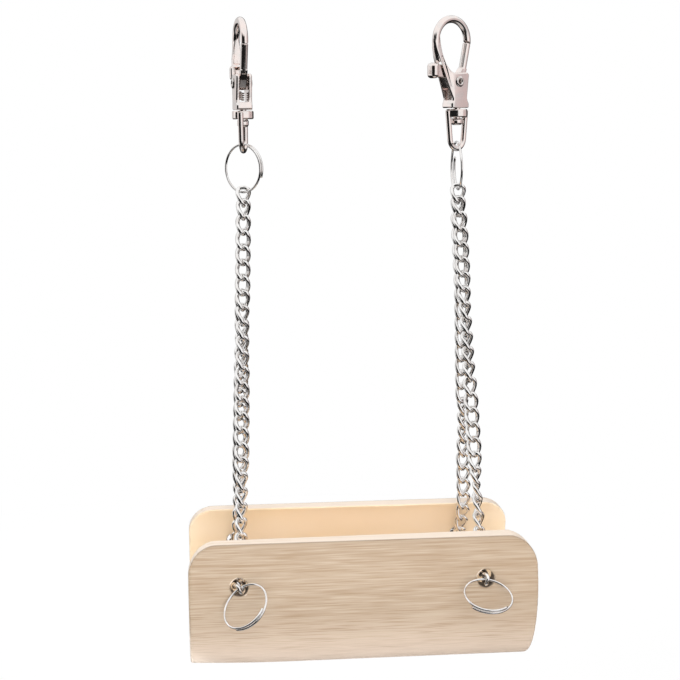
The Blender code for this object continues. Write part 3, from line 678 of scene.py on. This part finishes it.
def top_link_start(scene, side):
    """Where the top link's pitch starts, on the lowest part of the split ring."""
    chain, rings = scene.swing_chain, scene.swing_rings
    under = ring_centre_z(scene) - rings.radius + rings.wire + rings.play + chain.bite / 2
    lead = ring_lead(side, -pi / 2, rings.spacing) - ring_lead(side, pi / 2, rings.spacing)
    return Vector((side["x"] * scene.swing_clasps.place, 0, under)) + ring_axis(side) * lead


def strand_route(scene, side, wall):
    """From the top link apart and down to the rim's inner edge, into the trough, and out through the hole."""
    seat, chain, rings = scene.swing_seat, scene.swing_chain, scene.swing_rings
    x = side["x"] * seat.hole_x
    bore = seat.bore_left + (seat.bore_right - seat.bore_left) * ((x - seat.offset) / seat.span + 0.5)
    rim_y = sqrt(bore ** 2 - seat.rim ** 2) - chain.rim_clearance
    rim = Vector((side["rim_x"] * MM, wall * rim_y, seat.axis_z + seat.rim))
    bend = chain.top_width / 2 - chain.wire
    lift = chain.slack + bend - sqrt(bend ** 2 - chain.split ** 2)
    top = top_link_start(scene, side) + Vector((0, wall * chain.split, lift - chain.top_pitch))
    pair = []
    for down in (chain.beside_from, chain.beside_to):
        corner = top.lerp(rim, down / (top.z - rim.z))
        corner.y = wall * chain.beside - chain.lean * down / chain.beside_to
        pair.append(corner)
    end_y = stop_y(scene) + rings.wire + rings.play + chain.bite / 2
    turn_y = sqrt(bore ** 2 - seat.hole_height ** 2) - chain.turn_in
    level = hole_z(seat)
    corners = [top, *pair, rim, Vector((x, wall * turn_y, level)), Vector((x, wall * end_y, level))]
    split = chain.bend_at_split
    return rounded_route(corners, (split, split, chain.bend_at_rim, chain.bend_at_hole))


def level_width(along):
    """The direction across a link's run that is nearest to X."""
    return (Vector((1, 0, 0)) - along * along.x).normalized()


def roll_facing(along, wire):
    """The roll that lets a wire pass straight through a link that lies along a direction."""
    width = level_width(along)
    across = wire.cross(along).normalized()
    return atan2(across.dot(along.cross(width)), across.dot(width))


def strand_rolls(chain, name, side, wall):
    """The roll of every link. The last two are turned so that the stop ring's wire passes through."""
    numbers, turns = zip(*STRAND_ROLLS[name])
    turns = [radians(turn) for turn in turns]
    end = roll_facing(Vector((0, wall, 0)), stop_frame(side, wall).col[0].xyz) - chain.twist * chain.through
    end = turns[-1] + (end - turns[-1] + pi / 2) % pi - pi / 2
    numbers += (chain.links - 2, chain.links - 1)
    return numpy.interp(range(chain.links), numbers, turns + [end, end])


def squared(value, power):
    """A sine or cosine bent so that an ellipse gets fuller corners. A power of 2 leaves it round."""
    return abs(value) ** (2 / power) * (1 if value >= 0 else -1)


def curb_link(chain, pitch, width, wire):
    """One curb link: a rounded oblong of wire along Z, twisted about Z so that it lies in its neighbours."""
    half_length = pitch / 2 + wire - chain.bite / 2
    half_width = width / 2 - wire
    loop = []
    for step in range(LINK_POINTS):
        turn = 2 * pi * step / LINK_POINTS
        across = half_width * squared(cos(turn), chain.squareness)
        along = half_length * squared(sin(turn), chain.squareness)
        twist = chain.twist * along / half_length
        loop.append((across * cos(twist), across * sin(twist), along))
    return bent_wire(loop, wire, cyclic=True)


def link_frame(start, end, roll):
    """A link's matrix: its Z from start to end, its width turned by roll from the X direction."""
    along = (end - start).normalized()
    width = level_width(along)
    face = along.cross(width)
    across = width * cos(roll) + face * sin(roll)
    turn = Matrix((across, along.cross(across), along)).transposed().to_4x4()
    return Matrix.Translation((start + end) / 2) @ turn


def coil(radius, pitch, turns, points_per_turn):
    """Points of a helix about Z, centred on the origin, and its middle at angle 0."""
    count = round(turns * points_per_turn)
    angles = [2 * pi * turns * (step / count - 0.5) for step in range(count + 1)]
    return [Vector((radius * cos(turn), radius * sin(turn), pitch * turn / (2 * pi))) for turn in angles]


def scaled(corners):
    return [tuple(value * MM for value in corner) for corner in corners]


def gate_line(clasps):
    """The gate's tip and the direction from the pivot to it, in the hook's plane."""
    tip = Vector((clasps.gate_u, clasps.gate_z))
    return tip, (tip - Vector((clasps.pivot_u, clasps.pivot_z))).normalized()


def loop_mesh(clasps):
    """The loop's wire, from the gate's tip over the crown and down into the body."""
    middle = (clasps.loop_u, clasps.loop_z)
    crown = arc(middle, (clasps.loop_half_width, clasps.loop_rise), 0, pi, steps=40)
    spine = arc(middle, (clasps.loop_half_width, clasps.loop_drop), pi, pi + radians(36), steps=12)[1:]
    # The wire starts below the gate's joint and is cut off there
    tip = [(crown[0][0], crown[0][1] - 2 * MM)]
    wire = bent_wire([(u, 0, z) for u, z in tip + crown + spine], clasps.loop_wire, resolution=5)
    place, out = gate_line(clasps)
    place += out * clasps.gap / 2
    bm = bmesh.new()
    bm.from_mesh(wire)
    gate_side = [face for face in bm.faces if face.calc_center_median().x > clasps.pivot_u]
    geometry = gate_side + list({edge for face in gate_side for edge in face.edges})
    geometry += list({corner for face in gate_side for corner in face.verts})
    bmesh.ops.bisect_plane(bm, geom=geometry, plane_co=(place.x, 0, place.y), plane_no=(out.x, 0, out.y),
                           clear_inner=True)
    bmesh.ops.holes_fill(bm, edges=[edge for edge in bm.edges if edge.is_boundary])
    bm.to_mesh(wire)
    bm.free()
    return wire


def tapered(mesh, clasps):
    """Thins the body from taper_start up."""
    for corner in mesh.vertices:
        rise = max(0, (corner.co.z - clasps.taper_start) / (clasps.loop_z - clasps.taper_start))
        corner.co.y *= 1 - clasps.body_taper * rise
    return mesh


def pivot_drill(clasps):
    return rod(clasps.rivet + clasps.gap, THROUGH, (clasps.pivot_u, 0, clasps.pivot_z), "Y")


def hook_casting(clasps):
    """The cast hook: an egg-shaped loop that runs into a slotted body with a squared foot."""
    middle = (clasps.loop_u, clasps.loop_z)
    inner = (clasps.loop_half_width - clasps.loop_wire, clasps.loop_drop - clasps.loop_wire)
    outline = arc(middle, inner, radians(174), radians(278), steps=24) + scaled(BODY_OUTLINE)
    body = tapered(bevelled(plate(outline, clasps.cheek_half), width=0.75 * MM, segments=4), clasps)
    low = (-THROUGH, -clasps.slot_half, clasps.slot_floor)
    slot = block(low, (THROUGH, clasps.slot_half, clasps.slot_top))
    rivet_hole = pivot_drill(clasps)
    post_hole = rod(clasps.post_bore, 2 * clasps.post_depth)
    body = cut(body, ("DIFFERENCE", slot), ("DIFFERENCE", rivet_hole), ("DIFFERENCE", post_hole))
    made = softened([body, loop_mesh(clasps)], grain=0.11 * MM, passes=5, keep=0.3)
    # The cheeks bulge outwards, most at bulge_u
    for corner in made.vertices:
        aside = (corner.co.x - clasps.bulge_u) / clasps.bulge_half_width
        over = max(0, abs(corner.co.y) - clasps.slot_half) / (clasps.cheek_half - clasps.slot_half)
        bulge = clasps.bulge * over * max(0, 1 - aside ** 2)
        corner.co.y += bulge if corner.co.y > 0 else -bulge
    return made


def lever_casting(clasps):
    """The lever: gate arm up to the hook's tip, thumb pad out on the other side."""
    place, out = gate_line(clasps)
    end = place - out * clasps.gap / 2
    arm = bevelled(plate(scaled(LEVER_OUTLINE), clasps.lever_half), width=0.35 * MM, segments=3)
    root = (clasps.gate_root_u, 0, clasps.gate_root_z)
    gate = bent_wire([root, (end.x, 0, end.y)], clasps.gate_half, resolution=5)
    pad = bevelled(block(*scaled((PAD_LOW, PAD_HIGH))), width=1.1 * MM, segments=6)
    arm = cut(arm, ("DIFFERENCE", pivot_drill(clasps)))
    return softened([arm, gate, pad], grain=0.1 * MM, passes=4, keep=0.35)


def rivet_mesh(clasps):
    """A hollow-headed rivet across the hook."""
    seat = clasps.cheek_half + clasps.gap
    half = [(radius * clasps.rivet_head, seat + height * MM) for radius, height in RIVET_HEAD]
    half.append((clasps.rivet, seat))
    mesh = turned(half + [(radius, -height) for radius, height in reversed(half)], "Y")
    mesh.transform(Matrix.Translation((clasps.pivot_u, 0, clasps.pivot_z)))
    return mesh


def spring_mesh(clasps):
    """A small push spring between the slot's floor and the lever's tail."""
    low = clasps.slot_floor + clasps.gap + clasps.spring_wire
    high = clasps.tail - clasps.gap - clasps.spring_wire
    curls = 4
    points = coil(clasps.spring_radius, (high - low) / curls, curls, SPRING_POINTS)
    middle = Vector((clasps.spring_u, 0, (low + high) / 2))
    return bent_wire([point + middle for point in points], clasps.spring_wire, resolution=2)


def post_mesh(clasps):
    """The swivel's rivet: its shank sits in the foot, its button carries the eye's collar."""
    under = -(clasps.collar_height + 2 * clasps.gap)
    low = under - clasps.button_height
    top = clasps.post_depth - clasps.gap
    edge, dome = 0.15 * MM, 0.7 * MM
    shank = [(0, top), (clasps.post, top), (clasps.post, under)]
    button = [(clasps.button - edge, under), (clasps.button, under - edge)]
    button += arc((clasps.button - dome, low + dome), dome, 0, -pi / 2, steps=6)
    return turned(shank + button + [(0, low)])


def eye_casting(clasps, half_width):
    """A collar that turns on the post, with a U-shaped bail below it that narrows to half_width."""
    top = -clasps.gap
    low = top - clasps.collar_height
    radii = (half_width, clasps.bail_bottom - clasps.bail_straight)
    curve = arc((0, -clasps.bail_straight), radii, pi, 2 * pi, steps=24)
    round_off = 0.4 * MM
    start = (clasps.bail_top_half_width, top - round_off)
    path = [(-start[0], start[1])] + curve + [start]
    upper = arc((clasps.collar - round_off, top - round_off), round_off, pi / 2, 0, steps=4)
    lower = arc((clasps.collar - round_off, low + round_off), round_off, 0, -pi / 2, steps=4)
    collar = turned([(0, top)] + upper + lower + [(0, low)])
    collar = cut(collar, ("DIFFERENCE", rod(clasps.post_bore, THROUGH)))
    bail = bent_wire([(u, 0, z) for u, z in path], clasps.bail_wire, resolution=5)
    return softened([collar, bail], grain=0.1 * MM, passes=4, keep=0.35)


def seat_mesh(seat):
    """A culm cut open along the top, with rounded corners, drilled walls and sanded edges."""
    half = seat.span / 2
    inset, shoulder = half - seat.corner, seat.rim - seat.corner
    side_view = arc((inset, shoulder), seat.corner, 0, pi / 2, steps=24)
    side_view += arc((-inset, shoulder), seat.corner, pi / 2, pi, steps=24)
    below = -seat.radius - MM
    side_view += [(-half, below), (half, below)]
    side_view = [(x + seat.offset, z) for x, z in side_view]
    middle = (seat.offset, 0, 0)
    culm = rod(seat.radius, seat.span, middle, "X", segments=CULM_SIDES)
    bore = rod(seat.bore_left, seat.span + 2 * MM, middle, "X", seat.bore_right, CULM_SIDES)
    steps = [("DIFFERENCE", bore), ("INTERSECT", plate(side_view, seat.radius + MM))]
    for x in (-seat.hole_x, seat.hole_x):
        drill = rod(seat.hole_radius, 2 * seat.radius + 4 * MM, (x, 0, seat.hole_height), "Y")
        steps.append(("DIFFERENCE", drill))
    made = softened([cut(culm, *steps)], grain=0.4 * MM, passes=5, keep=0.3)
    for corner in made.vertices:
        run = max(0, -corner.co.x / half - LIFT_FROM) / (1 - LIFT_FROM)
        corner.co.z += seat.lift * run ** 2 * max(0, -corner.co.z / seat.radius)
    return made


class SWING_OT_stage(Operator):
    """Adds the floor, the lamps, the even light and the camera"""
    bl_idname = "swing.stage"
    bl_label = "Stage"

    def execute(self, context):
        stage = context.scene.swing_stage
        self.add_floor(stage)
        self.add_sky(context.scene, stage)
        for name, (place, aim, size) in LAMPS.items():
            self.add_lamp(name + "_lamp", place, aim, size, getattr(stage, name))
        self.add_camera(context.scene, stage)
        context.scene.view_settings.view_transform = "Standard"
        return {"FINISHED"}

    def add_floor(self, stage):
        """A pale floor that looks white to the camera, but for a little of its own shade near the swing."""
        bm = bmesh.new()
        bmesh.ops.create_grid(bm, x_segments=8, y_segments=8, size=6)
        mesh = mesh_of(bm, "floor")
        floor = linked("floor", mesh)
        floor.location.z = stage.floor_z
        floor.visible_glossy = False
        paint = Finish(bpy.data.materials.new("pale_floor"))
        paint.give(Base_Color=(0.90, 0.90, 0.90, 1), Roughness=0.9, Specular_IOR_Level=0.1)
        glow = paint.add("Emission", {"Color": (1, 1, 1, 1), "Strength": 1.0})
        fade = paint.ramp(paint.size(paint.place()), 0.1, 0.8, 0.88, 1.0)
        path = paint.nodes.new("ShaderNodeLightPath")
        seen = paint.blend(paint.times(path.outputs["Is Camera Ray"], fade), paint.shader, glow)
        paint.links.new(seen.outputs[0], paint.nodes["Material Output"].inputs["Surface"])
        mesh.materials.append(paint.owner)

    def add_sky(self, scene, stage):
        """White for the camera, an even light for the object, and a room for the metal to mirror."""
        scene.world = bpy.data.worlds.new("studio")
        sky = Finish(scene.world)
        sky.nodes.clear()
        direction = sky.nodes.new("ShaderNodeTexCoord").outputs["Generated"]
        even = sky.add("Background", {"Color": (1, 1, 1, 1), "Strength": stage.sky})
        mirrored = sky.add("Background", {"Color": self.room(sky, direction, stage), "Strength": 1.0})
        white = sky.add("Background", {"Color": (1, 1, 1, 1), "Strength": 1.0})
        path = sky.nodes.new("ShaderNodeLightPath")
        seen = sky.blend(path.outputs["Is Glossy Ray"], even, mirrored)
        seen = sky.blend(path.outputs["Is Camera Ray"], seen, white)
        output = sky.nodes.new("ShaderNodeOutputWorld")
        sky.links.new(seen.outputs[0], output.inputs["Surface"])

    def room(self, sky, direction, stage):
        """A white room with a dim side and back, a dark part in front, and a dark floor that pales below."""
        # The limits are of directions of length 1, seen from the swing
        x, y, z = sky.axes(direction)
        tint = sky.mix(sky.ramp(x, 0.80, 1.0), stage.room_white, stage.room_side)
        facing = {0: direction, 1: stage.dark_side}
        ahead = sky.add("VectorMath", facing, operation="DOT_PRODUCT").outputs["Value"]
        tint = sky.mix(sky.ramp(ahead, 0.6, 0.74), tint, stage.room_dark)
        behind = sky.times(sky.ramp(y, 0.28, 0.55), sky.ramp(x, -0.35, 0.15, 0.35, 1.0))
        tint = sky.mix(behind, tint, stage.room_back)
        floor = sky.times(sky.ramp(z, -0.16, -0.38), sky.ramp(x, -0.97, -0.82))
        floor = sky.times(floor, sky.ramp(z, -0.72, -0.92, 1.0, 0.45))
        tint = sky.mix(floor, tint, stage.room_dark)
        return sky.mix(sky.ramp(z, 0.28, 0.55), tint, stage.room_white)

    def add_lamp(self, name, place, aim, size, power):
        lamp = bpy.data.lights.new(name, "AREA")
        lamp.shape = "DISK"
        lamp.size = size
        lamp.energy = power
        made = linked(name, lamp)
        made.location = place
        made.rotation_euler = (Vector(aim) - Vector(place)).to_track_quat("-Z", "Y").to_euler()
        made.visible_glossy = False

    def add_camera(self, scene, stage):
        lens = bpy.data.cameras.new("camera")
        lens.sensor_width = 36
        lens.lens = stage.lens
        lens.clip_start = 0.01
        camera = linked("camera", lens)
        camera.location = stage.camera_place
        camera.rotation_euler = stage.camera_turn
        scene.camera = camera


class SWING_OT_seat(Operator):
    """Adds the bamboo seat with its drilled holes and sanded edges"""
    bl_idname = "swing.seat"
    bl_label = "Bamboo seat"

    def execute(self, context):
        seat = context.scene.swing_seat
        piece = fit_piece("bamboo_trough", seat_mesh(seat), "sanded_bamboo", "seat", "bamboo_seat")
        piece.matrix_world = Matrix.Translation((0, 0, seat.axis_z))
        return {"FINISHED"}


class SWING_OT_strands(Operator):
    """Adds the top links and the four strands of curb chain that hang from them"""
    bl_idname = "swing.strands"
    bl_label = "Chain strands"

    def execute(self, context):
        for name, side in SIDES.items():
            self.add_top_link(context.scene, name, side)
            for wall, sign in WALLS.items():
                self.add_strand(context.scene, name, name + "_" + wall, side, sign)
        return {"FINISHED"}

    def add_top_link(self, scene, name, side):
        chain = scene.swing_chain
        start = top_link_start(scene, side)
        end = start - Vector((0, 0, chain.top_pitch))
        link = curb_link(chain, chain.top_pitch, chain.top_width, chain.wire)
        link.transform(link_frame(start, end, radians(side["top_roll"])))
        fit_piece(name + "_upper_link", link, "nickel_wire", name + "_strands", name + "_top_link")

    def add_strand(self, scene, side_name, strand, side, wall):
        chain = scene.swing_chain
        route = strand_route(scene, side, wall)
        pitch = (route_length(route) + chain.slack) / chain.links
        plain = curb_link(chain, pitch, chain.width, chain.wire)
        last = curb_link(chain, pitch, chain.end_width, chain.end_wire)
        links = []
        start = 0.0
        for index, roll in enumerate(strand_rolls(chain, strand, side, wall)):
            link = plain
            if index == chain.links - 1:
                link = last
                start -= chain.slack
            lie = link_frame(point_on(route, start), point_on(route, start + pitch), roll)
            links.append(moved(link, lie))
            start += pitch
        body = side_name + "_strands"
        fit_piece(strand + "_links", joined(links[:-1]), "nickel_wire", body, strand + "_chain")
        fit_piece(strand + "_last_link", links[-1], "nickel_wire", body, strand + "_end_link")


class SWING_OT_rings(Operator):
    """Adds the two split rings below the hooks and the four that stop the strands"""
    bl_idname = "swing.rings"
    bl_label = "Split rings"

    def execute(self, context):
        scene = context.scene
        rings = scene.swing_rings
        wire = bent_wire(coil(rings.radius, rings.spacing, rings.turns, RING_POINTS), rings.wire)
        for name, side in SIDES.items():
            ring = moved(wire, self.hanging(scene, side))
            fit_piece(name + "_hanging_ring", ring, "ring_nickel", "top_rings", name + "_top_ring")
            for wall, sign in WALLS.items():
                strand = name + "_" + wall
                ring = moved(wire, self.stopping(scene, side, sign))
                fit_piece(strand + "_end_ring", ring, "ring_nickel", strand + "_ring", strand + "_stop_ring")
        return {"FINISHED"}

    def hanging(self, scene, side):
        axis = ring_axis(side)
        turn = Matrix((ring_direction(side), Vector((0, 0, 1)), axis)).transposed().to_4x4()
        centre = Vector((side["x"] * scene.swing_clasps.place, 0, ring_centre_z(scene)))
        centre -= axis * ring_lead(side, pi / 2, scene.swing_rings.spacing)
        return Matrix.Translation(centre) @ turn @ Matrix.Rotation(radians(side["ring_turn"]), 4, "Z")

    def stopping(self, scene, side, wall):
        seat, rings = scene.swing_seat, scene.swing_rings
        contact = Vector((side["x"] * seat.hole_x, wall * stop_y(scene), hole_z(seat)))
        out = Matrix.Translation((0, rings.radius, 0)) @ Matrix.Rotation(-pi / 2, 4, "Z")
        return Matrix.Translation(contact) @ stop_frame(side, wall) @ out


class SWING_OT_hooks(Operator):
    """Adds the snap hooks with their levers, rivets, springs and swivel posts"""
    bl_idname = "swing.hooks"
    bl_label = "Snap hooks"

    def execute(self, context):
        clasps = context.scene.swing_clasps
        hook, lever = hook_casting(clasps), lever_casting(clasps)
        rivet, spring, post = rivet_mesh(clasps), spring_mesh(clasps), post_mesh(clasps)
        for name, side in SIDES.items():
            place = clasp_place(clasps, side, side["hook"])
            body = name + "_hook"
            fit_piece(name + "_hook_casting", moved(hook, place), "cast_nickel", body, name + "_hook_body")
            fit_piece(name + "_gate_lever", moved(lever, place), "cast_nickel", name + "_trigger_lever",
                      name + "_trigger")
            fit_piece(name + "_lever_rivet", moved(rivet, place), "drawn_spring_steel", body,
                      name + "_pivot_rivet", SHARP_EDGE)
            fit_piece(name + "_button_post", moved(post, place), "cast_nickel", body,
                      name + "_swivel_post", SHARP_EDGE)
            curls = fit_piece(name + "_push_spring", moved(spring, place), "drawn_spring_steel", body,
                              name + "_trigger_spring")
            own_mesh(curls)
        return {"FINISHED"}


class SWING_OT_eyes(Operator):
    """Adds the swivel eyes"""
    bl_idname = "swing.eyes"
    bl_label = "Swivel eyes"

    def execute(self, context):
        clasps = context.scene.swing_clasps
        for name, side in SIDES.items():
            eye = moved(eye_casting(clasps, side["bail"] * MM), clasp_place(clasps, side, side["eye"]))
            fit_piece(name + "_eye_casting", eye, "cast_nickel", "swivel_eyes", name + "_swivel_eye")
        return {"FINISHED"}


class SWING_PT_panel(Panel):
    """Lists the swing's sizes, colours and pieces"""
    bl_label = "Hamster swing"
    bl_space_type = "VIEW_3D"
    bl_region_type = "UI"
    bl_category = "Hamster swing"

    def draw(self, context):
        for operator in OPERATORS:
            self.layout.operator(operator.bl_idname)
        for name, group in GROUPS.items():
            box = self.layout.box()
            box.label(text=name.removeprefix("swing_").capitalize())
            for prop in group.__annotations__:
                box.prop(getattr(context.scene, name), prop)


GROUPS = {"swing_seat": SwingSeat, "swing_chain": SwingChain, "swing_rings": SwingRings,
          "swing_clasps": SwingClasps, "swing_finishes": SwingFinishes, "swing_stage": SwingStage}
OPERATORS = (SWING_OT_stage, SWING_OT_seat, SWING_OT_strands, SWING_OT_rings, SWING_OT_hooks, SWING_OT_eyes)


def register():
    for made in (*GROUPS.values(), *OPERATORS, SWING_PT_panel):
        bpy.utils.register_class(made)
    for name, group in GROUPS.items():
        setattr(bpy.types.Scene, name, PointerProperty(type=group))


def unregister():
    for name in GROUPS:
        delattr(bpy.types.Scene, name)
    for made in (SWING_PT_panel, *reversed(OPERATORS), *reversed(GROUPS.values())):
        bpy.utils.unregister_class(made)


def main():
    register()
    bpy.ops.swing.stage()
    bpy.ops.swing.seat()
    bpy.ops.swing.strands()
    bpy.ops.swing.rings()
    bpy.ops.swing.hooks()
    bpy.ops.swing.eyes()


if __name__ == "__main__":
    main()
